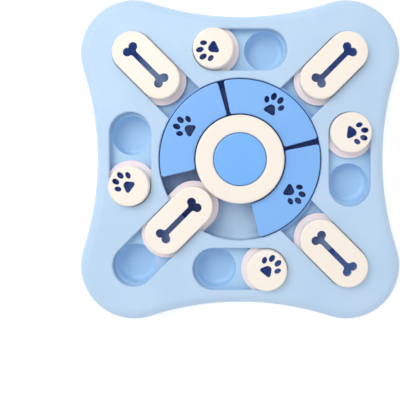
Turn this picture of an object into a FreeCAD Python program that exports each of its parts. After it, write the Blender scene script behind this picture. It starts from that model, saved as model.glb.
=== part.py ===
import math
import os

import FreeCAD
import Part

# Dog puzzle feeder. Millimetres, +Z up, origin on the floor under the middle of the toy.

# Body
overall = 260.0
waist = 233.0
lobe_radius = 45.1
skirt_foot = 1.5
deck_top = 26.0
draft = 3.0
edge_round = 9.0
wall = 2.4
deck_thickness = 3.8
lip_round = 1.0
rib_thickness = 1.6
plate_thickness = 2.5
plate_edge_gap = 1.0
deck_margin = 0.5
floor_split = 27.5

# Sliders and the channels that they run in
slide_gap = 0.3
flange_thickness = 3.6
flange_radius = 20.0
knob_radius = 15.9
knob_rise = 7.0
knob_wall = 2.2
knob_round = 1.3
side_slot_offset = 86.9
side_travel = 41.8
side_slot_gap = 0.7
bone_spacing = 30.0
bone_rest_inset = 1.17
bone_slot_gap = 1.0

# Food cups under the slots
cup_radius = 15.8
cup_depth = 11.5
cup_spacing = 38.1
bone_cup_inset = 2.07
cup_wall = 1.8
cup_floor = 2.0
cup_round = 4.0

# Food ring, its three covers and the column in its middle
ring_opening = 64.2
cover_gap = 1.0
cap_side_gap = 1.3
cover_span = 86.8
cover_end_gap = 4.25
cover_middle = 58.55
cover_rise = 2.3
cover_wall = 1.8
cover_top = 2.2
cover_corner = 2.0
cover_round = 1.0
tongue_thickness = 2.5
rim_tongue = 2.8
rim_tongue_thickness = 1.4
ring_recess = 65.0
ring_wall = 1.6
recess_depth = 8.5
recess_round = 3.0
pan_thickness = 2.0
column_radius = 32.2
column_wall = 2.2

# Middle cap, squeaky button and squeaker
cap_overhang = 2.5
cap_shelf = 11.3
cap_thickness = 3.0
cap_rim_gap = 0.3
cap_rim_wall = 2.2
cap_round = 1.5
neck_wall = 2.2
neck_depth = 8.0
cap_post_radius = 3.2
cap_post_gap = 1.2
button_gap = 0.4
button_top = 2.4
button_wall = 2.0
button_skirt = 6.5
button_lip = 1.0
button_lip_thickness = 1.5
bulb_gap = 2.0
bulb_fold = 3.5
bulb_wall = 1.6
bulb_folds = 3
reed_radius = 3.0
reed_head = 5.5
reed_head_height = 1.2
reed_bore = 1.0

# Screws and feet
screw_radius = 1.3
screw_play = 0.15
screw_head = 3.0
screw_head_height = 1.9
screw_bite = 6.0
cap_screw_bite = 10.0
boss_radius = 4.2
boss_along = 50.0
boss_inset = 8.5
foot_radius = 9.0

# Cut-outs in the tops of the sliders and covers
bone_lobe_x = 17.2
bone_lobe_y = 3.1
bone_lobe_radius = 3.5
bone_shaft = 4.4
bone_neck_round = 2.0
paw_on_cover = 46.0
paw_pad = [(1.0, 0, 3.1), (-1.7, 3.1, 1.8), (-1.7, -3.1, 1.8)]  # x, y and radius of its three corners
paw_toes = [(10.0, 3.0, 3.1, 2.2, 8), (5.2, 6.6, 2.8, 2.0, 25)]  # x, y, half length, half width, splay

# Worked out from the sizes above
lobe_offset = (overall / 2 - lobe_radius) * math.sqrt(2)
bone_rest = lobe_offset - bone_rest_inset
bone_cup_offset = lobe_offset - bone_cup_inset
boss_out = waist / 2 - boss_inset
cap_post_circle = column_radius - column_wall - cap_post_radius - cap_post_gap
cap_radius = column_radius + cap_overhang
cap_bore = column_radius - cap_shelf
cover_inner = cap_radius + cap_side_gap
cover_step = cover_span + cover_end_gap
deck_under = deck_top - deck_thickness
flange_top = deck_under - slide_gap
flange_under = flange_top - flange_thickness
slot_floor = flange_under - slide_gap
plate_under = slot_floor - plate_thickness
knob_top = deck_top + knob_rise
cup_bottom = slot_floor - cup_depth
cup_under = cup_bottom - cup_floor
pan_floor = slot_floor - recess_depth
pan_under = pan_floor - pan_thickness
channel_radius = flange_radius + slide_gap
bone_inner_rest = column_radius + slide_gap + flange_radius + bone_spacing
bone_travel = bone_rest - bone_inner_rest
cover_outer = ring_opening - cover_gap
cover_under = deck_under + slide_gap
cover_high = deck_top + cover_rise
cap_rim_under = cover_under + tongue_thickness + cap_rim_gap
cap_under = knob_top - cap_thickness
tongue_inner = column_radius - column_wall + slide_gap
button_radius = cap_bore - button_gap
bulb_radius = button_radius - button_wall - bulb_gap
bulb_waist = bulb_radius - bulb_fold
screw_hole = screw_radius + screw_play
deck_inset = draft + edge_round - deck_margin
ring_outside = ring_recess + ring_wall + slide_gap

quarter = 90
sides = {"right": 0, "top": quarter, "left": 2 * quarter, "bottom": 3 * quarter}
corners = {"tr": quarter / 2, "tl": sides["top"] + quarter / 2, "bl": sides["left"] + quarter / 2,
           "br": sides["bottom"] + quarter / 2}
slid_in = {"bl"}
side_paws = {"right": -7.0, "top": 205.0, "left": 144.0, "bottom": 50.6}
covers = {"tl": cover_middle + cover_step, "tr": cover_middle, "br": cover_middle - cover_step + 4 * quarter}


def point(x, y, z=0.0):
    return FreeCAD.Vector(x, y, z)


def turned(shape, angle):
    copy = shape.copy()
    copy.rotate(point(0, 0), FreeCAD.Vector(0, 0, 1), angle)
    return copy


def moved(shape, x, y):
    return shape.translated(point(x, y))


def prism(wire, low, high):
    face = Part.Face(wire)
    face.translate(point(0, 0, low))
    return face.extrude(point(0, 0, high - low))


def disc(x, y, radius, low, high):
    return Part.makeCylinder(radius, high - low, point(x, y, low))


def spun(profile):
    corners_3d = [point(r, 0, z) for r, z in profile]
    wire = Part.makePolygon(corners_3d + corners_3d[:1])
    return Part.Face(wire).revolve(point(0, 0), FreeCAD.Vector(0, 0, 1), 360)


def joined(shapes):
    return shapes[0].multiFuse(shapes[1:]).removeSplitter()


def belt(circles):
    """The tight loop round circles that are given as (x, y, radius), anticlockwise."""
    tangents = []
    for (x1, y1, r1), (x2, y2, r2) in zip(circles, circles[1:] + circles[:1]):
        length = math.hypot(x2 - x1, y2 - y1)
        tangents.append(math.atan2(y2 - y1, x2 - x1) - math.acos((r1 - r2) / length))
    edges = []
    for index, (x, y, r) in enumerate(circles):
        start = tangents[index - 1]
        end = tangents[index]
        while end < start:
            end += 2 * math.pi
        rim = [point(x + r * math.cos(a), y + r * math.sin(a)) for a in (start, (start + end) / 2, end)]
        edges.append(Part.Arc(*rim).toShape())
        x2, y2, r2 = circles[(index + 1) % len(circles)]
        next_rim = point(x2 + r2 * math.cos(end), y2 + r2 * math.sin(end))
        edges.append(Part.LineSegment(rim[2], next_rim).toShape())
    return Part.Wire(edges)


def track(x1, y1, x2, y2, radius, low, high):
    """A bar with round ends, lying flat."""
    return prism(belt([(x1, y1, radius), (x2, y2, radius)]), low, high)


def rounded(solid, radius, wanted):
    return solid.makeFillet(radius, [edge for edge in solid.Edges if wanted(edge)])


def is_level(edge, height):
    return abs(edge.BoundBox.ZMin - height) < 1e-4 and abs(edge.BoundBox.ZMax - height) < 1e-4


def reach_of(edge):
    """How far the middle of an edge lies from the centre, along X or Y."""
    middle = edge.valueAt((edge.FirstParameter + edge.LastParameter) / 2)
    return max(abs(middle.x), abs(middle.y))


def outline(inset, height):
    """The toy's plan: four round lobes joined by long hollow sides."""
    lobe = overall / 2 - lobe_radius
    step = waist / 2 - lobe
    hollow = (lobe ** 2 + step ** 2 - lobe_radius ** 2) / (2 * (lobe_radius - step))
    centre = waist / 2 + hollow
    radius = hollow + inset
    span = math.hypot(lobe - centre, lobe)
    x = centre + radius * (lobe - centre) / span
    y = radius * lobe / span
    peak = lobe + (lobe_radius - inset) / math.sqrt(2)
    edges = []
    for angle in sides.values():
        side = Part.Arc(point(x, -y), point(centre - radius, 0), point(x, y)).toShape()
        corner = Part.Arc(point(x, y), point(peak, peak), point(y, x)).toShape()
        edges += [turned(side, angle), turned(corner, angle)]
    wire = Part.Wire(edges)
    wire.translate(point(0, 0, height))
    return wire


def rounded_block(inset, low, high, radius):
    solid = Part.makeLoft([outline(inset, low), outline(inset + draft, high)], True, True)
    return rounded(solid, radius, lambda edge: is_level(edge, high))


def side_track(radius, low, high):
    half = side_travel / 2
    return track(side_slot_offset, -half, side_slot_offset, half, radius, low, high)


def bone_track(radius, low, high):
    return track(0, 0, bone_rest, 0, radius, low, high)


def on_sides(shape):
    return [turned(shape, angle) for angle in sides.values()]


def on_corners(shape):
    return [turned(shape, angle) for angle in corners.values()]


def boss_places():
    places = []
    for angle in sides.values():
        for along in (-boss_along, boss_along):
            spot = turned(Part.Vertex(point(boss_out, along)), angle)
            places.append((spot.X, spot.Y))
    return places


def make_channel(slot_track, shell):
    """The wall under the deck that guides one slider's flange."""
    wall_ring = slot_track(channel_radius + rib_thickness, slot_floor, deck_under)
    space = slot_track(channel_radius, slot_floor, deck_under)
    ring = disc(0, 0, ring_outside, slot_floor, deck_under)
    return wall_ring.cut([space, ring, shell])


def make_shell():
    body = rounded_block(0, skirt_foot, deck_top, edge_round)
    body = body.cut(rounded_block(wall, skirt_foot, deck_under, edge_round - wall))
    holes = on_sides(side_track(knob_radius + side_slot_gap, deck_under, deck_top))
    holes += on_corners(bone_track(knob_radius + bone_slot_gap, deck_under, deck_top))
    holes.append(disc(0, 0, ring_opening, deck_under, deck_top))
    body = body.cut(joined(holes))
    flat_reach = overall / 2 - draft - edge_round
    body = rounded(body, lip_round, lambda edge: is_level(edge, deck_top) and reach_of(edge) < flat_reach)
    groove_top = cover_under + rim_tongue_thickness + slide_gap
    groove = disc(0, 0, cover_outer + rim_tongue + slide_gap, deck_under, groove_top)
    return body.cut([groove] + screw_pilots())


def screw_pilots():
    return [disc(x, y, screw_hole, slot_floor, slot_floor + screw_bite) for x, y in boss_places()]


def flat_deck():
    return prism(outline(deck_inset, 0), deck_under, deck_top)


def make_top_rim(shell):
    bosses = [disc(x, y, boss_radius, slot_floor, deck_under) for x, y in boss_places()]
    bosses += [web.common(rounded_block(wall / 2, skirt_foot, deck_top, edge_round)) for web in boss_webs()]
    return joined([shell.cut(flat_deck())] + bosses).cut(screw_pilots())


def boss_webs():
    """The ribs that join the screw bosses to the skirt."""
    size = (overall / 2 - boss_out, rib_thickness, deck_under - slot_floor)
    webs = []
    for along in (-boss_along, boss_along):
        webs += on_sides(Part.makeBox(*size, point(boss_out, along - rib_thickness / 2, slot_floor)))
    return webs


def wedge(half_angle):
    """All that lies within half_angle degrees of +X."""
    spread = overall * math.tan(math.radians(half_angle))
    loop = [point(0, 0), point(overall, -spread), point(overall, spread), point(0, 0)]
    return prism(Part.makePolygon(loop), 0, knob_top)


def make_floor_plate():
    inset = wall + draft + plate_edge_gap
    plate = prism(outline(inset, 0), plate_under, slot_floor)
    low_wall = disc(0, 0, ring_recess + ring_wall, slot_floor, deck_under)
    low_wall = low_wall.cut(on_corners(bone_track(channel_radius, slot_floor, deck_under)))
    plate = joined([plate] + low_wall.Solids)
    holes = [disc(0, 0, ring_recess, plate_under, deck_under)]
    for offset in (-cup_spacing / 2, cup_spacing / 2):
        holes += on_sides(disc(side_slot_offset, offset, cup_radius, plate_under, slot_floor))
    holes += on_corners(disc(bone_cup_offset, 0, cup_radius, plate_under, slot_floor))
    holes += [disc(x, y, screw_hole, plate_under, slot_floor) for x, y in boss_places()]
    return plate.cut(holes)


def cup(x, y):
    outer = disc(x, y, cup_radius + cup_wall, cup_under, plate_under)
    space = disc(x, y, cup_radius, cup_bottom, plate_under)
    space = rounded(space, cup_round, lambda edge: is_level(edge, cup_bottom))
    return outer.cut(space)


def make_side_cups():
    pair = [cup(side_slot_offset, offset) for offset in (-cup_spacing / 2, cup_spacing / 2)]
    return Part.Compound(pair)


def make_ring_pan():
    outer = ring_recess + cup_wall
    pan = spun([
        (column_radius, pan_under), (outer, pan_under), (outer, plate_under),
        (ring_recess, plate_under), (ring_recess, pan_floor), (column_radius, pan_floor)])
    return rounded(pan, recess_round,
                   lambda edge: is_level(edge, pan_floor) and reach_of(edge) > column_radius + recess_round)


def make_column():
    bore = column_radius - column_wall
    column = spun([
        (0, cup_under), (column_radius, cup_under), (column_radius, deck_under), (bore, deck_under),
        (bore, cup_bottom), (0, cup_bottom)])
    column = column.cut(disc(0, 0, reed_radius + slide_gap, cup_under, cup_bottom))
    return column.cut([disc(x, y, screw_hole, cup_under, cup_bottom) for x, y in cap_post_places()])


def cap_post_places():
    angles = [math.radians(angle) for angle in corners.values()]
    return [(cap_post_circle * math.cos(a), cap_post_circle * math.sin(a)) for a in angles]


def make_cap_ring():
    neck_outer = column_radius - column_wall - slide_gap
    neck_inner = neck_outer - neck_wall
    rim_inner = cap_radius - cap_rim_wall
    cap = spun([
        (cap_bore, cap_under), (neck_inner, cap_under), (neck_inner, deck_under - neck_depth),
        (neck_outer, deck_under - neck_depth), (neck_outer, cap_under), (rim_inner, cap_under),
        (rim_inner, cap_rim_under), (cap_radius, cap_rim_under), (cap_radius, knob_top),
        (cap_bore, knob_top)])
    cap = rounded(cap, cap_round, lambda edge: is_level(edge, knob_top))
    posts = [disc(x, y, cap_post_radius, cup_bottom, cap_under) for x, y in cap_post_places()]
    cap = joined([cap] + posts)
    bite = cup_bottom + cap_screw_bite
    return cap.cut([disc(x, y, screw_hole, cup_bottom, bite) for x, y in cap_post_places()])


def make_button():
    inner = button_radius - button_wall
    lip = cap_bore + button_lip
    lip_high = cap_under - slide_gap
    lip_low = lip_high - button_lip_thickness
    under = knob_top - button_top
    skirt = knob_top - button_skirt
    button = spun([
        (0, under), (inner, under), (inner, skirt), (button_radius, skirt), (button_radius, lip_low),
        (lip, lip_low), (lip, lip_high), (button_radius, lip_high), (button_radius, knob_top),
        (0, knob_top)])
    return rounded(button, cap_round, lambda edge: is_level(edge, knob_top))


def bulb_profile(widest, narrowest, low, high):
    rows = 2 * bulb_folds
    profile = []
    for row in range(rows + 1):
        radius = narrowest if row % 2 else widest
        profile.append((radius, low + (high - low) * row / rows))
    return profile


def make_bulb():
    low = cup_bottom
    high = knob_top - button_top - slide_gap
    outside = bulb_profile(bulb_radius, bulb_waist, low, high)
    inside = bulb_profile(bulb_radius - bulb_wall, bulb_waist - bulb_wall, low + bulb_wall, high - bulb_wall)
    bulb = spun([(0, low)] + outside + [(0, high)])
    space = spun([(0, low + bulb_wall)] + inside + [(0, high - bulb_wall)])
    return bulb.cut([space, disc(0, 0, reed_head + slide_gap, low, low + bulb_wall)])


def make_reed():
    reed = joined([
        disc(0, 0, reed_radius, cup_under, cup_bottom),
        disc(0, 0, reed_head, cup_bottom, cup_bottom + reed_head_height)])
    return reed.cut(disc(0, 0, reed_bore, cup_under, cup_bottom + reed_head_height))


def screw(x, y, seat, bite):
    head = disc(x, y, screw_head, seat - screw_head_height, seat)
    return joined([head, disc(x, y, screw_radius, seat, seat + bite)])


def is_neck(edge, height):
    """An upright edge between a lobe of the bone and its shaft."""
    box = edge.BoundBox
    return abs(box.ZLength - height) < 1e-4 and abs(box.XMin) < bone_lobe_x


def bone_cutter(low, high):
    lobes = []
    for x in (-bone_lobe_x, bone_lobe_x):
        for y in (-bone_lobe_y, bone_lobe_y):
            lobes.append(disc(x, y, bone_lobe_radius, low, high))
    size = (2 * bone_lobe_x, bone_shaft, high - low)
    shaft = Part.makeBox(*size, point(-bone_lobe_x, -bone_shaft / 2, low))
    bone = joined(lobes + [shaft])
    return rounded(bone, bone_neck_round, lambda edge: is_neck(edge, high - low))


def ellipse_cutter(x, y, along, across, angle, low, high):
    ellipse = Part.Ellipse(point(0, 0), along, across).toShape()
    toe = prism(Part.Wire([ellipse]), low, high)
    return moved(turned(toe, angle), x, y)


def paw_cutter(low, high):
    """A paw print with its toes along +X and its pad on the origin."""
    toes = []
    for x, y, along, across, splay in paw_toes:
        for side in (-1, 1):
            toes.append(ellipse_cutter(x, side * y, along, across, side * splay, low, high))
    return [prism(belt(paw_pad), low, high)] + toes


def bar(length, radius, low, high):
    """A disc, or a bar with round ends that runs from the origin along +X."""
    if length == 0:
        return disc(0, 0, radius, low, high)
    return track(0, 0, length, 0, radius, low, high)


def make_flange(length):
    flange = bar(length, flange_radius, flange_under, flange_top)
    return flange.cut(bar(length, knob_radius - knob_wall, flange_under, flange_top))


def make_knob(length):
    body = bar(length, knob_radius, flange_top, knob_top)
    body = rounded(body, knob_round, lambda edge: is_level(edge, knob_top))
    return body.cut(bar(length, knob_radius - knob_wall, flange_top, knob_top - knob_wall))


def make_bone_slider(corner):
    """The knob and the flange of one bone slider, in place."""
    inner = (bone_inner_rest if corner in slid_in else bone_rest) - bone_spacing
    bone = moved(bone_cutter(knob_top - knob_wall, knob_top), bone_spacing / 2, 0)
    pieces = [make_knob(bone_spacing).cut(bone), make_flange(bone_spacing)]
    return [turned(moved(piece, inner, 0), corners[corner]) for piece in pieces]


def make_paw_slider(side):
    """The knob and the flange of one paw slider, in place."""
    paw = [turned(piece, side_paws[side] - sides[side]) for piece in paw_cutter(knob_top - knob_wall, knob_top)]
    pieces = [make_knob(0).cut(paw), make_flange(0)]
    return [turned(moved(piece, side_slot_offset, side_travel / 2), sides[side]) for piece in pieces]


def sector(inner, outer, side_inset, low, high):
    """A quarter-like slice of a ring whose straight ends lie side_inset inside the cover's ends."""
    half = math.radians(cover_span / 2)
    ends = []
    for radius in (inner, outer):
        ends.append(half - math.asin(side_inset / radius))
    edges = []
    inner_arc = [point(inner * math.cos(a), inner * math.sin(a)) for a in (-ends[0], 0, ends[0])]
    outer_arc = [point(outer * math.cos(a), outer * math.sin(a)) for a in (-ends[1], 0, ends[1])]
    edges.append(Part.Arc(*outer_arc).toShape())
    edges.append(Part.LineSegment(outer_arc[2], inner_arc[2]).toShape())
    edges.append(Part.Arc(*reversed(inner_arc)).toShape())
    edges.append(Part.LineSegment(inner_arc[0], outer_arc[0]).toShape())
    return prism(Part.Wire(edges), low, high)


def make_cover(angle):
    body = sector(cover_inner, cover_outer, 0, cover_under, cover_high)
    body = rounded(body, cover_corner, lambda edge: edge.BoundBox.ZLength > cover_rise)
    body = rounded(body, cover_round, lambda edge: is_level(edge, cover_high))
    space = sector(cover_inner + cover_wall, cover_outer - cover_wall, cover_wall,
                   cover_under, cover_high - cover_top)
    inner_tongue = sector(tongue_inner, cover_inner + cover_wall, cover_corner,
                          cover_under, cover_under + tongue_thickness)
    outer_tongue = sector(cover_outer - cover_wall, cover_outer + rim_tongue, cover_corner,
                          cover_under, cover_under + rim_tongue_thickness)
    cover = joined([body.cut(space), inner_tongue, outer_tongue])
    paw = [moved(piece, paw_on_cover, 0) for piece in paw_cutter(cover_high - cover_top, cover_high)]
    return turned(cover.cut(paw), angle)


def save(shape, name):
    shape.exportStep(os.path.join("parts", name + ".step"))
    print(name, "valid", shape.isValid(), "solids", len(shape.Solids), "volume", round(shape.Volume, 1))


os.makedirs("parts", exist_ok=True)
shell = make_shell()
deck_quarter = shell.common(flat_deck()).common(wedge(quarter / 2))
save(make_top_rim(shell), "top_rim")
save(make_ring_pan(), "ring_pan")
save(make_column(), "ring_column")
floor_plate = make_floor_plate()
side_floor = floor_plate.common(wedge(floor_split))
corner_floor = turned(floor_plate, -corners["tr"]).common(wedge(quarter / 2 - floor_split))
side_channel = make_channel(side_track, shell)
bone_channel = make_channel(bone_track, turned(shell, -corners["tr"]))
for side, angle in sides.items():
    save(turned(deck_quarter, angle), "top_deck_" + side)
    save(turned(side_floor, angle), "slot_floor_" + side)
    save(turned(side_channel, angle), "side_channel_" + side)
    save(turned(make_side_cups(), angle), "side_cups_" + side)
    knob, flange = make_paw_slider(side)
    save(knob, "paw_knob_" + side)
    save(flange, "paw_flange_" + side)
for corner, angle in corners.items():
    save(turned(corner_floor, angle), "slot_floor_" + corner)
    save(turned(bone_channel, angle), "bone_channel_" + corner)
    save(turned(cup(bone_cup_offset, 0), angle), "bone_cup_" + corner)
    save(turned(disc(bone_cup_offset, 0, foot_radius, 0, cup_under), angle), "foot_" + corner)
    knob, flange = make_bone_slider(corner)
    save(knob, "bone_knob_" + corner)
    save(flange, "bone_flange_" + corner)
for name, angle in covers.items():
    save(make_cover(angle), "cover_" + name)
save(make_cap_ring(), "cap_ring")
save(make_button(), "squeak_button")
save(make_bulb(), "squeaker_bulb")
save(make_reed(), "squeaker_reed")
shell_bite = plate_thickness + screw_bite - screw_play
save(Part.Compound([screw(x, y, plate_under, shell_bite) for x, y in boss_places()]), "shell_screws")
cap_bite = cup_floor + cap_screw_bite - screw_play
save(Part.Compound([screw(x, y, cup_under, cap_bite) for x, y in cap_post_places()]), "cap_screws")
print("bone travel", round(bone_travel, 3), "side travel", side_travel)
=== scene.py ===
import math

import bpy
import bmesh
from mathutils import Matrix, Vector


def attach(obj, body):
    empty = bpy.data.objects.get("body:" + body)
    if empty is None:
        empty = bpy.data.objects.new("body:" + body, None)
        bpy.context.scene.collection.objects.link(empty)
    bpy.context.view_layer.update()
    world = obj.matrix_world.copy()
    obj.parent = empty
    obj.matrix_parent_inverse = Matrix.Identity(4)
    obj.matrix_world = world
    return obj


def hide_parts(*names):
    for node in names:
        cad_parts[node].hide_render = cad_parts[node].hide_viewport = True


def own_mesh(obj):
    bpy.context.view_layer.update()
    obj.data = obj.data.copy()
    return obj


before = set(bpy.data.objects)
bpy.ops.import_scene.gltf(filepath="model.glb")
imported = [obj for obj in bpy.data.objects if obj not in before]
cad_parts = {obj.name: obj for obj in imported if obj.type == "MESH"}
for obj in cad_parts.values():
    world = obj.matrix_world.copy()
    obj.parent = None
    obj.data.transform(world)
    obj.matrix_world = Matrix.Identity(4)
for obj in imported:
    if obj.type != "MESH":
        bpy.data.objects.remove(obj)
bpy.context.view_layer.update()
scene = bpy.context.scene
print("frame loaded:", len(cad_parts), "nodes")

mm = 0.001
sideAngles = {"right": 0, "top": 90, "left": 180, "bottom": 270}
cornerAngles = {"tr": 45, "tl": 135, "bl": 225, "br": 315}


def turnedPlace(x, y, degrees):
    angle = math.radians(degrees)
    return (x * math.cos(angle) - y * math.sin(angle), x * math.sin(angle) + y * math.cos(angle))


# Camera, straight above the middle as in the photograph
cameraSetup = {
    "height": 476 * mm,   # above the floor, 450 above the deck
    "lens": 51.26,
    "sensor": 36.0,
    "shiftX": -0.1000,
    "shiftY": -0.1019,
    "nearest": 10 * mm,
}


def placeCamera(setup):
    data = bpy.data.cameras.new("camera")
    data.sensor_width = setup["sensor"]
    data.lens = setup["lens"]
    data.shift_x = setup["shiftX"]
    data.shift_y = setup["shiftY"]
    data.clip_start = setup["nearest"]
    camera = bpy.data.objects.new("camera", data)
    camera.location = (0, 0, setup["height"])
    scene.collection.objects.link(camera)
    scene.camera = camera


placeCamera(cameraSetup)
scene.view_settings.view_transform = "Standard"
print("camera placed")


# One socket of a node tree, so that maths on it reads as maths
class Wire:
    def __init__(self, tree, socket):
        self.tree = tree
        self.socket = socket

    def node(self, kind, settings=None, inputs=None, out=0):
        made = self.tree.nodes.new(kind)
        for name, value in (settings or {}).items():
            setattr(made, name, value)
        for name, value in (inputs or {}).items():
            if isinstance(value, Wire):
                self.tree.links.new(value.socket, made.inputs[name])
            else:
                made.inputs[name].default_value = value
        return Wire(self.tree, made.outputs[out])

    def math(self, operation, other, flip=False):
        values = [other, self] if flip else [self, other]
        return self.node("ShaderNodeMath", {"operation": operation}, dict(enumerate(values)))

    def __add__(self, other):
        return self.math("ADD", other)

    def __radd__(self, other):
        return self.math("ADD", other, flip=True)

    def __sub__(self, other):
        return self.math("SUBTRACT", other)

    def __rsub__(self, other):
        return self.math("SUBTRACT", other, flip=True)

    def __mul__(self, other):
        return self.math("MULTIPLY", other)

    def __rmul__(self, other):
        return self.math("MULTIPLY", other, flip=True)

    def __pow__(self, other):
        return self.math("POWER", other)

    def __rpow__(self, other):
        return self.math("POWER", other, flip=True)

    def atLeast(self, other):
        return self.math("MAXIMUM", other)

    def part(self, axis):   # one coordinate of a place
        return self.node("ShaderNodeSeparateXYZ", None, {"Vector": self}, out=axis)

    def between(self, low, high):   # 0 below low, 1 above high, straight in between
        return self.node("ShaderNodeMapRange", {"clamp": True},
                         {"Value": self, "From Min": low, "From Max": high})

    def mixed(self, first, second):   # first where this wire is 0, second where it is 1
        # Sockets 6, 7 and 2 are those for colours
        return self.node("ShaderNodeMix", {"data_type": "RGBA"}, {0: self, 6: first, 7: second}, out=2)


def newMaterial(name):
    material = bpy.data.materials.new(name)
    material.use_nodes = True
    tree = material.node_tree
    tree.nodes.clear()
    output = tree.nodes.new("ShaderNodeOutputMaterial")
    shader = tree.nodes.new("ShaderNodeBsdfPrincipled")
    tree.links.new(shader.outputs[0], output.inputs[0])
    place = Wire(tree, None).node("ShaderNodeTexCoord", out="Object")
    return material, shader, place


def feed(shader, name, value):
    if isinstance(value, Wire):
        value.tree.links.new(value.socket, shader.inputs[name])
    else:
        shader.inputs[name].default_value = value


def noiseAt(place, scale, detail=2.0):
    return place.node("ShaderNodeTexNoise", None, {"Vector": place, "Scale": scale, "Detail": detail})


# Painted shade: where a hollow or a narrow gap lies in shade, the plastic is painted in a dark shade
# colour
edgeFade = 0.1 * mm
# painted shade: inside these hollows the knobs' walls are painted a dark violet, so the holes in their
# tops look shaded
knobHollow = {
    "radius": 13.85 * mm,
    "top": 30.75 * mm,
    "pawAlong": 20.9 * mm,
    "pawOut": 86.9 * mm,
    "boneOuter": 118.9 * mm,
    "boneInner": 82.5 * mm,   # the outer end's place once the slider is pushed in
    "boneLength": 30.0 * mm,
}
# painted shade: the covers' and button's undersides and tongues are painted dark navy, so narrow gaps and
# paw holes read as deep shade
coverHollow = {"radius": 64.3 * mm, "top": 25.8 * mm}   # the covers' undersides and their tongues
# painted shade: the ring floor takes a dark navy colour where ambient occlusion finds it covered
ringShade = {"reach": 60.0 * mm, "samples": 8, "dark": 0.10, "clear": 0.20}   # by how open it lies


def below(place, height):   # 1 under that height, 0 above it
    return 1 - place.part(2).between(height, height + edgeFade)


def within(away, hollow):   # 1 nearer than the hollow's radius, 0 beyond it
    return 1 - away.between(hollow["radius"], hollow["radius"] + edgeFade)


def knobEnds(kind, name):
    if kind == "paw":
        place = turnedPlace(knobHollow["pawOut"], knobHollow["pawAlong"], sideAngles[name])
        return place, place
    outer = knobHollow["boneInner" if name == "bl" else "boneOuter"]
    return (turnedPlace(outer - knobHollow["boneLength"], 0, cornerAngles[name]),
            turnedPlace(outer, 0, cornerAngles[name]))


def insideKnob(place, start, end):   # 1 within the hollow of a knob that runs from start to end
    length = math.dist(start, end)
    towards = ((end[0] - start[0]) / length, (end[1] - start[1]) / length) if length else (1.0, 0.0)
    x = place.part(0) - start[0]
    y = place.part(1) - start[1]
    along = x * towards[0] + y * towards[1]
    across = y * towards[0] - x * towards[1]
    beyond = (along - length).atLeast(0.0) + (0.0 - along).atLeast(0.0)
    away = (across * across + beyond * beyond) ** 0.5
    return within(away, knobHollow) * below(place, knobHollow["top"])


def insideCover(place):
    away = (place.part(0) ** 2.0 + place.part(1) ** 2.0) ** 0.5
    return below(place, coverHollow["top"]) * within(away, coverHollow)


# painted shade on the ring floor under the covers, driven by ambient occlusion
def underCovers(place):   # 1 where hardly any light comes in from above, 0 in the open gap
    openness = place.node("ShaderNodeAmbientOcclusion", {"samples": ringShade["samples"]},
                          {"Distance": ringShade["reach"]}, out="AO")
    return 1 - openness.between(ringShade["dark"], ringShade["clear"])


plasticBase = {
    "cloudScale": 28.0,
    "cloudFrom": 0.35,
    "cloudTo": 0.65,
    "grainScale": 2600.0,
    "grainDetail": 3.0,
    "grainHeight": 6e-6,
    "smearScale": 60.0,
    "roughness": 0.42,
    "roughnessSpread": 0.10,
    "dipScale": 35.0,
    "dipDetail": 1.0,
    "dipHeight": 4e-5,
    "ior": 1.49,
}


def plasticLook(colour, deep, **changes):
    return {**plasticBase, "colour": colour, "deep": deep, **changes}


# painted shade colour for the covers' and button's undersides, seen through gaps and holes
coverShadeNavy = (0.004, 0.012, 0.10)
looks = {
    # glow is a painted glow: a faint blue emission on these parts, though they are no lamp
    "shell": plasticLook((0.52, 0.69, 0.88), (0.49, 0.66, 0.86), glow=(0.0, 0.004, 0.012)),
    "tray": plasticLook((0.46, 0.69, 0.87), (0.43, 0.66, 0.84), glow=(0.0, 0.004, 0.05)),
    "ring": plasticLook((0.60, 0.79, 0.93), (0.57, 0.76, 0.90), glow=(0.0, 0.004, 0.045),
                        shade=(0.006, 0.018, 0.11)),
    "cover": plasticLook((0.222, 0.480, 0.93), (0.21, 0.46, 0.91), shade=coverShadeNavy, roughness=0.38),
    "button": plasticLook((0.185, 0.47, 0.96), (0.175, 0.45, 0.94), shade=coverShadeNavy, roughness=0.38),
    # cream: shade is the painted shade inside the knob hollows, low is the painted darker shade of the
    # flange
    "cream": plasticLook((0.96, 0.88, 0.79), (0.94, 0.85, 0.76), shade=(0.12, 0.09, 0.50), roughness=0.40,
                         low=(0.88, 0.80, 0.84), lowHeight=22.0 * mm),
    "reed": plasticLook((0.80, 0.80, 0.79), (0.76, 0.76, 0.75), roughness=0.35),
    "rubber": plasticLook((0.20, 0.23, 0.29), (0.17, 0.20, 0.26), roughness=0.75, grainHeight=1.5e-5,
                          ior=1.45),
    "bulb": plasticLook((0.62, 0.64, 0.68), (0.56, 0.58, 0.62), roughness=0.6, grainHeight=1.2e-5,
                        ior=1.45),
}


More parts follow.
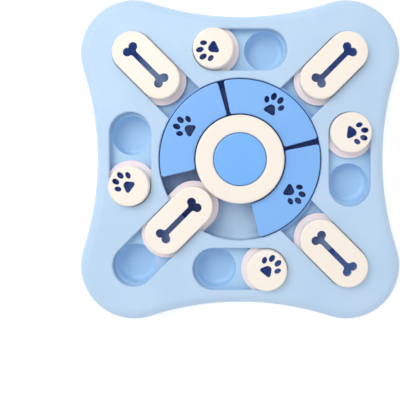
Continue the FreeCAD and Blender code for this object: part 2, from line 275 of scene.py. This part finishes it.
# Moulded plastic: a faint cloudiness in the colour, a fine satin grain, and slow dips of a moulded wall.
# Where inShade is 1 the colour is painted shade, the dark colour that a wall shows inside a hollow or a
# narrow gap.
def mouldedPlastic(name, look, inShade=None):
    material, shader, place = newMaterial(name)
    cloud = noiseAt(place, look["cloudScale"]).between(look["cloudFrom"], look["cloudTo"])
    colour = cloud.mixed(look["deep"] + (1,), look["colour"] + (1,))
    # painted shade: below that height the flange is painted a darker mauve, as it lies in shade under the
    # deck's lips
    if "low" in look:   # the flange, under the deck's lips
        colour = below(place, look["lowHeight"]).mixed(colour, look["low"] + (1,))
    if inShade:
        colour = inShade(place).mixed(colour, look["shade"] + (1,))
    feed(shader, "Base Color", colour)
    grain = noiseAt(place, look["grainScale"], look["grainDetail"])
    smear = noiseAt(place, look["smearScale"])
    feed(shader, "Roughness", look["roughness"] + (smear - 0.5) * look["roughnessSpread"])
    dips = noiseAt(place, look["dipScale"], look["dipDetail"])
    height = grain * look["grainHeight"] + dips * look["dipHeight"]
    bump = place.node("ShaderNodeBump", None, {"Height": height, "Strength": 1.0, "Distance": 1.0})
    feed(shader, "Normal", bump)
    feed(shader, "IOR", look["ior"])
    # painted glow: a faint blue emission that stands in for light coming through the plastic and tints the
    # shaded places blue
    if "glow" in look:   # light that comes through the walls of the moulding
        feed(shader, "Emission Color", look["glow"] + (1,))
        feed(shader, "Emission Strength", 1.0)
    return material


def knobPlastic(kind, name):
    start, end = knobEnds(kind, name)
    return mouldedPlastic("creamPlastic_" + kind + "_" + name, looks["cream"],
                          lambda place: insideKnob(place, start, end))


steelLook = {
    "dark": (0.52, 0.52, 0.53, 1),
    "bright": (0.66, 0.66, 0.67, 1),
    "scratchScale": 900.0,
    "scratchDetail": 4.0,
    "roughness": 0.28,
    "roughnessSpread": 0.2,
}


def screwSteel(look):
    material, shader, place = newMaterial("screwSteel")
    scratches = noiseAt(place, look["scratchScale"], look["scratchDetail"])
    feed(shader, "Base Color", scratches.mixed(look["dark"], look["bright"]))
    feed(shader, "Metallic", 1.0)
    feed(shader, "Roughness", look["roughness"] + scratches * look["roughnessSpread"])
    return material


plastics = {
    "shell": mouldedPlastic("shellPlastic", looks["shell"]),
    "tray": mouldedPlastic("trayPlastic", looks["tray"]),
    "cream": mouldedPlastic("creamPlastic", looks["cream"]),
    "reed": mouldedPlastic("reedPlastic", looks["reed"]),
    "ring": mouldedPlastic("ringPlastic", looks["ring"], underCovers),
    "cover": mouldedPlastic("coverPlastic", looks["cover"], insideCover),
    "button": mouldedPlastic("buttonPlastic", looks["button"], insideCover),
    "rubber": mouldedPlastic("footRubber", looks["rubber"]),
    "bulb": mouldedPlastic("bulbRubber", looks["bulb"]),
    "steel": screwSteel(steelLook),
}
knobPlastics = {("paw", name): knobPlastic("paw", name) for name in sideAngles}
knobPlastics.update({("bone", name): knobPlastic("bone", name) for name in cornerAngles})

plasticOfNodes = [   # the first start that fits a node's name gives its plastic
    ("top_", "shell"), ("side_channel", "shell"), ("bone_channel", "shell"),
    ("slot_floor", "tray"), ("side_cups", "tray"), ("bone_cup", "tray"), ("ring_", "ring"),
    ("cover_", "cover"), ("squeak_button", "button"), ("cap_ring", "cream"),
    ("squeaker_reed", "reed"), ("squeaker_bulb", "bulb"), ("foot_", "rubber"),
    ("shell_screws", "steel"), ("cap_screws", "steel"),
]


def plasticFor(node):
    for start, name in plasticOfNodes:
        if node.startswith(start):
            return plastics[name]
    kind, _, name = node.split("_")   # what is left is a slider's, such as paw_knob_left
    return knobPlastics[kind, name]


for nodeName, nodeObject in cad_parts.items():
    nodeObject.data.materials.clear()
    nodeObject.data.materials.append(plasticFor(nodeName))
print("materials given to the moulded pieces")


# Trees of Geometry Nodes for the pieces that repeat
def newTree(name, sizes):
    tree = bpy.data.node_groups.new(name, "GeometryNodeTree")
    tree.interface.new_socket("Geometry", in_out="INPUT", socket_type="NodeSocketGeometry")
    for sizeName, value in sizes.items():
        kind = "NodeSocketInt" if isinstance(value, int) else "NodeSocketFloat"
        tree.interface.new_socket(sizeName, in_out="INPUT", socket_type=kind).default_value = value
    tree.interface.new_socket("Material", in_out="INPUT", socket_type="NodeSocketMaterial")
    tree.interface.new_socket("Geometry", in_out="OUTPUT", socket_type="NodeSocketGeometry")
    group = tree.nodes.new("NodeGroupInput")
    return tree, {socket.name: Wire(tree, socket) for socket in group.outputs if socket.name}


def vector(x=0.0, y=0.0, z=0.0):
    wire = next(value for value in (x, y, z) if isinstance(value, Wire))
    return wire.node("ShaderNodeCombineXYZ", None, {"X": x, "Y": y, "Z": z})


def lifted(shape, height):
    return shape.node("GeometryNodeTransform", None, {"Geometry": shape, "Translation": vector(z=height)})


def flattened(wire):   # each point's own place at height nought
    place = wire.node("GeometryNodeInputPosition")
    return vector(place.part(0), place.part(1), 0.0)


def circle(wire, radius, steps):
    return wire.node("GeometryNodeCurvePrimitiveCircle", {"mode": "RADIUS"},
                     {"Resolution": steps, "Radius": radius})


def together(shapes):
    tree = shapes[0].tree
    join = tree.nodes.new("GeometryNodeJoinGeometry")
    for shape in shapes:
        tree.links.new(shape.socket, join.inputs[0])
    return Wire(tree, join.outputs[0])


def finishTree(tree, given, shape):
    copies = shape.node("GeometryNodeInstanceOnPoints", None,
                        {"Points": given["Geometry"], "Instance": shape})
    solid = copies.node("GeometryNodeRealizeInstances", None, {"Geometry": copies})
    painted = solid.node("GeometryNodeSetMaterial", None,
                         {"Geometry": solid, "Material": given["Material"]})
    output = tree.nodes.new("NodeGroupOutput")
    tree.links.new(painted.socket, output.inputs[0])


def grown(name, tree, places, sizes, material):   # a plain mesh with the tree's shape at each place
    mesh = bpy.data.meshes.new(name)
    mesh.from_pydata(places, [], [])
    piece = bpy.data.objects.new(name, mesh)
    scene.collection.objects.link(piece)
    modifier = piece.modifiers.new("shape", "NODES")
    modifier.node_group = tree
    values = {**sizes, "Material": material}
    for socket in tree.interface.items_tree:
        if socket.in_out == "INPUT" and socket.name in values:
            modifier[socket.identifier] = values[socket.name]
    graph = bpy.context.evaluated_depsgraph_get()
    made = bpy.data.meshes.new_from_object(piece.evaluated_get(graph), preserve_all_data_layers=True,
                                           depsgraph=graph)
    piece.modifiers.remove(modifier)
    piece.data = made
    return piece


def atCorners(out, height):   # one place on each diagonal
    return [(*turnedPlace(out, 0, angle), height) for angle in cornerAngles.values()]


# Screws: a pan head with a cross recess, on a plain shank
screwSizes = {
    "Head Radius": 3.0 * mm,
    "Face Radius": 2.45 * mm,
    "Head Height": 1.9 * mm,
    "Shank Radius": 1.25 * mm,
    "Shank Length": 8.3 * mm,   # of the shell screws, since the cap screws have their own
    "Recess Length": 3.3 * mm,
    "Recess Width": 0.75 * mm,
    "Recess Depth": 1.2 * mm,
    "Head Steps": 40,
    "Shank Steps": 24,
}
shellScrewPlaces = {"along": 50.0 * mm, "out": 108.0 * mm, "seat": 15.5 * mm}
capScrewPlaces = {"out": 25.6 * mm, "seat": 4.5 * mm, "shank": 11.8 * mm}


def makeScrewTree(sizes):
    tree, given = newTree("crossScrew", sizes)
    start = given["Head Radius"]
    head = start.node("GeometryNodeMeshCone", None, {
        "Vertices": given["Head Steps"], "Radius Top": given["Head Radius"],
        "Radius Bottom": given["Face Radius"], "Depth": given["Head Height"]})
    slots = []
    for long, wide in (("Recess Length", "Recess Width"), ("Recess Width", "Recess Length")):
        size = vector(given[long], given[wide], given["Recess Depth"] * 2.0)   # half is outside the head
        slots.append(start.node("GeometryNodeMeshCube", None, {"Size": size}))
    cross = together(slots)
    cut = head.node("GeometryNodeMeshBoolean", {"operation": "DIFFERENCE", "solver": "EXACT"},
                    {"Mesh 1": head, "Mesh 2": cross})
    shank = start.node("GeometryNodeMeshCylinder", None, {
        "Vertices": given["Shank Steps"], "Radius": given["Shank Radius"], "Depth": given["Shank Length"]})
    shape = together([lifted(cut, 0.0 - given["Head Height"]), lifted(shank, given["Shank Length"] * 0.5)])
    finishTree(tree, given, shape)
    return tree


def placeScrews(name, node, places, sizes):
    screws = grown(name, screwTree, places, sizes, plastics["steel"])
    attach(screws, "base")
    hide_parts(node)


def placeShellScrews(setup):
    places = []
    for angle in sideAngles.values():
        for along in (-setup["along"], setup["along"]):
            places.append((*turnedPlace(setup["out"], along, angle), setup["seat"]))
    placeScrews("shellScrews", "shell_screws", places, screwSizes)


def placeCapScrews(setup):
    sizes = {**screwSizes, "Shank Length": setup["shank"]}
    placeScrews("capScrews", "cap_screws", atCorners(setup["out"], setup["seat"]), sizes)


screwTree = makeScrewTree(screwSizes)
placeShellScrews(shellScrewPlaces)
placeCapScrews(capScrewPlaces)
print("screws made")


# Rubber feet with rings under them that grip the floor
footSizes = {
    "Radius": 9.0 * mm,
    "Height": 4.5 * mm,
    "Bottom Radius": 8.5 * mm,
    "Ring Step": 2.4 * mm,
    "Ring Thickness": 0.45 * mm,
    "Ring Count": 3,
    "Steps": 64,
    "Ring Sides": 12,
}
footPlaces = {"out": 118.0 * mm, "seat": 0.0}


def makeFootTree(sizes):
    tree, given = newTree("ringedFoot", sizes)
    start = given["Radius"]
    ringDepth = given["Ring Thickness"]
    chamfer = start.node("GeometryNodeMeshCone", None, {
        "Vertices": given["Steps"], "Radius Top": given["Radius"],
        "Radius Bottom": given["Bottom Radius"], "Depth": ringDepth})
    tall = given["Height"] - ringDepth * 2.0
    pad = start.node("GeometryNodeMeshCylinder", None, {
        "Vertices": given["Steps"], "Radius": given["Radius"], "Depth": tall})
    line = start.node("GeometryNodeMeshLine", None, {"Count": given["Ring Count"]})
    number = start.node("GeometryNodeInputIndex")
    scale = (number + 1.0) * given["Ring Step"]
    rings = start.node("GeometryNodeInstanceOnPoints", None, {
        "Points": line, "Instance": circle(start, 1.0, given["Steps"]),
        "Scale": vector(scale, scale, 1.0)})
    paths = rings.node("GeometryNodeRealizeInstances", None, {"Geometry": rings})
    flat = paths.node("GeometryNodeSetPosition", None, {"Geometry": paths, "Position": flattened(paths)})
    profile = circle(start, ringDepth, given["Ring Sides"])
    tubes = flat.node("GeometryNodeCurveToMesh", None, {"Curve": flat, "Profile Curve": profile})
    shape = together([   # the tubes stand half out of the chamfer's underside
        lifted(chamfer, ringDepth), lifted(pad, tall * 0.5 + ringDepth * 2.0), lifted(tubes, ringDepth)])
    finishTree(tree, given, shape)
    return tree


def placeFeet(setup):
    places = atCorners(setup["out"], setup["seat"])
    feet = grown("rubberFeet", footTree, places, footSizes, plastics["rubber"])
    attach(feet, "base")
    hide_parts(*["foot_" + name for name in cornerAngles])


footTree = makeFootTree(footSizes)
placeFeet(footPlaces)
print("feet made")


# Squeaker bulb: a soft bellows that the button presses down
bulbSetup = {
    "bottom": 6.5 * mm,
    "top": 30.3 * mm,
    "wide": 16.4 * mm,
    "narrow": 13.1 * mm,
    "wall": 1.6 * mm,
    "mouth": 5.8 * mm,
    "endRound": 0.9 * mm,
    "folds": 3,
    "rows": 60,
    "steps": 96,
    "pressed": 3.0 * mm,
}


def bellowsSide(setup, inset):
    low = setup["bottom"] + inset
    high = setup["top"] - inset
    middle = (setup["wide"] + setup["narrow"]) / 2
    swing = (setup["wide"] - setup["narrow"]) / 2
    side = []
    for row in range(setup["rows"] + 1):
        share = row / setup["rows"]
        fold = math.cos(2 * math.pi * setup["folds"] * share)
        side.append((middle + swing * fold - inset, low + (high - low) * share))
    side[0] = (side[0][0] - setup["endRound"], side[0][1])
    side[-1] = (side[-1][0] - setup["endRound"], side[-1][1])
    return side


def lathed(name, profile, steps):   # a closed profile of radius and height, turned about the middle
    bm = bmesh.new()
    rings = []
    for radius, height in profile:
        if radius == 0:
            rings.append([bm.verts.new((0, 0, height))] * steps)
            continue
        angles = [2 * math.pi * step / steps for step in range(steps)]
        rings.append([bm.verts.new((radius * math.cos(a), radius * math.sin(a), height)) for a in angles])
    for lower, upper in zip(rings, rings[1:] + rings[:1]):
        for step in range(steps):
            following = (step + 1) % steps
            corners = []
            for corner in (lower[step], lower[following], upper[following], upper[step]):
                if corner not in corners:
                    corners.append(corner)
            if len(corners) > 2:
                bm.faces.new(corners)
    bmesh.ops.recalc_face_normals(bm, faces=bm.faces)
    mesh = bpy.data.meshes.new(name)
    bm.to_mesh(mesh)
    bm.free()
    for face in mesh.polygons:
        face.use_smooth = True
    piece = bpy.data.objects.new(name, mesh)
    scene.collection.objects.link(piece)
    return piece


def makeBulb(setup):
    outside = [(setup["mouth"], setup["bottom"])] + bellowsSide(setup, 0.0) + [(0, setup["top"])]
    inside = [(0, setup["top"] - setup["wall"])] + bellowsSide(setup, setup["wall"])[::-1]
    inside.append((setup["mouth"], setup["bottom"] + setup["wall"]))
    bulb = lathed("squeakerBellows", outside + inside, setup["steps"])
    bulb.data.materials.append(plastics["bulb"])
    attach(bulb, "base")
    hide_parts("squeaker_bulb")
    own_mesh(bulb)


makeBulb(bulbSetup)
print("squeaker bulb made")


# Light: a pale room, darker straight overhead, and one wide soft lamp from the upper left
roomSetup = {
    "side": 0.83,
    "top": 0.28,
    "darkFrom": 0.80,   # how far up the room starts to darken, from 0 at the horizon to 1 overhead
    "darkTo": 0.95,
}
lampSetup = {
    "size": 0.9,
    "power": 7.8,
    "place": (-0.60, 0.50, 1.1),
}
floorSetup = {
    "size": 3.0,
    "colour": (0.86, 0.87, 0.88),
    "roughness": 0.9,
    "white": 0.45,   # glow that brings the paper up to white where it is seen plainly
}
white = (1, 1, 1, 1)


def seenPlainly(wire):   # 1 on rays from the camera, and on those that a mirror or glass sends on
    camera, glossy, through = [wire.node("ShaderNodeLightPath", out=name) for name in
                               ("Is Camera Ray", "Is Glossy Ray", "Is Transmission Ray")]
    return camera.atLeast(glossy).atLeast(through)


def lightRoom(setup):
    world = bpy.data.worlds.new("room")
    scene.world = world
    world.use_nodes = True
    background = world.node_tree.nodes["Background"]
    facing = Wire(world.node_tree, None).node("ShaderNodeTexCoord", out="Generated")
    overhead = facing.part(2).between(setup["darkFrom"], setup["darkTo"])
    level = overhead * (setup["top"] - setup["side"]) + setup["side"]
    seen = seenPlainly(facing)
    feed(background, "Color", white)
    feed(background, "Strength", level * (1 - seen) + seen)


def hangLamp(setup):
    lamp = bpy.data.lights.new("softLamp", "AREA")
    lamp.size = setup["size"]
    lamp.energy = setup["power"]
    lampObject = bpy.data.objects.new("softLamp", lamp)
    place = Vector(setup["place"])
    lampObject.location = place
    lampObject.rotation_euler = place.to_track_quat("Z", "Y").to_euler()
    scene.collection.objects.link(lampObject)


def layFloor(setup):
    half = setup["size"] / 2
    corners = [(-half, -half, 0), (half, -half, 0), (half, half, 0), (-half, half, 0)]
    mesh = bpy.data.meshes.new("floor")
    mesh.from_pydata(corners, [], [(0, 1, 2, 3)])
    floor = bpy.data.objects.new("floor", mesh)
    scene.collection.objects.link(floor)
    material, shader, place = newMaterial("floorPaper")
    feed(shader, "Base Color", setup["colour"] + (1,))
    feed(shader, "Roughness", setup["roughness"])
    feed(shader, "Emission Color", white)
    feed(shader, "Emission Strength", seenPlainly(place) * setup["white"])
    mesh.materials.append(material)


lightRoom(roomSetup)
hangLamp(lampSetup)
layFloor(floorSetup)
print("light and floor set")
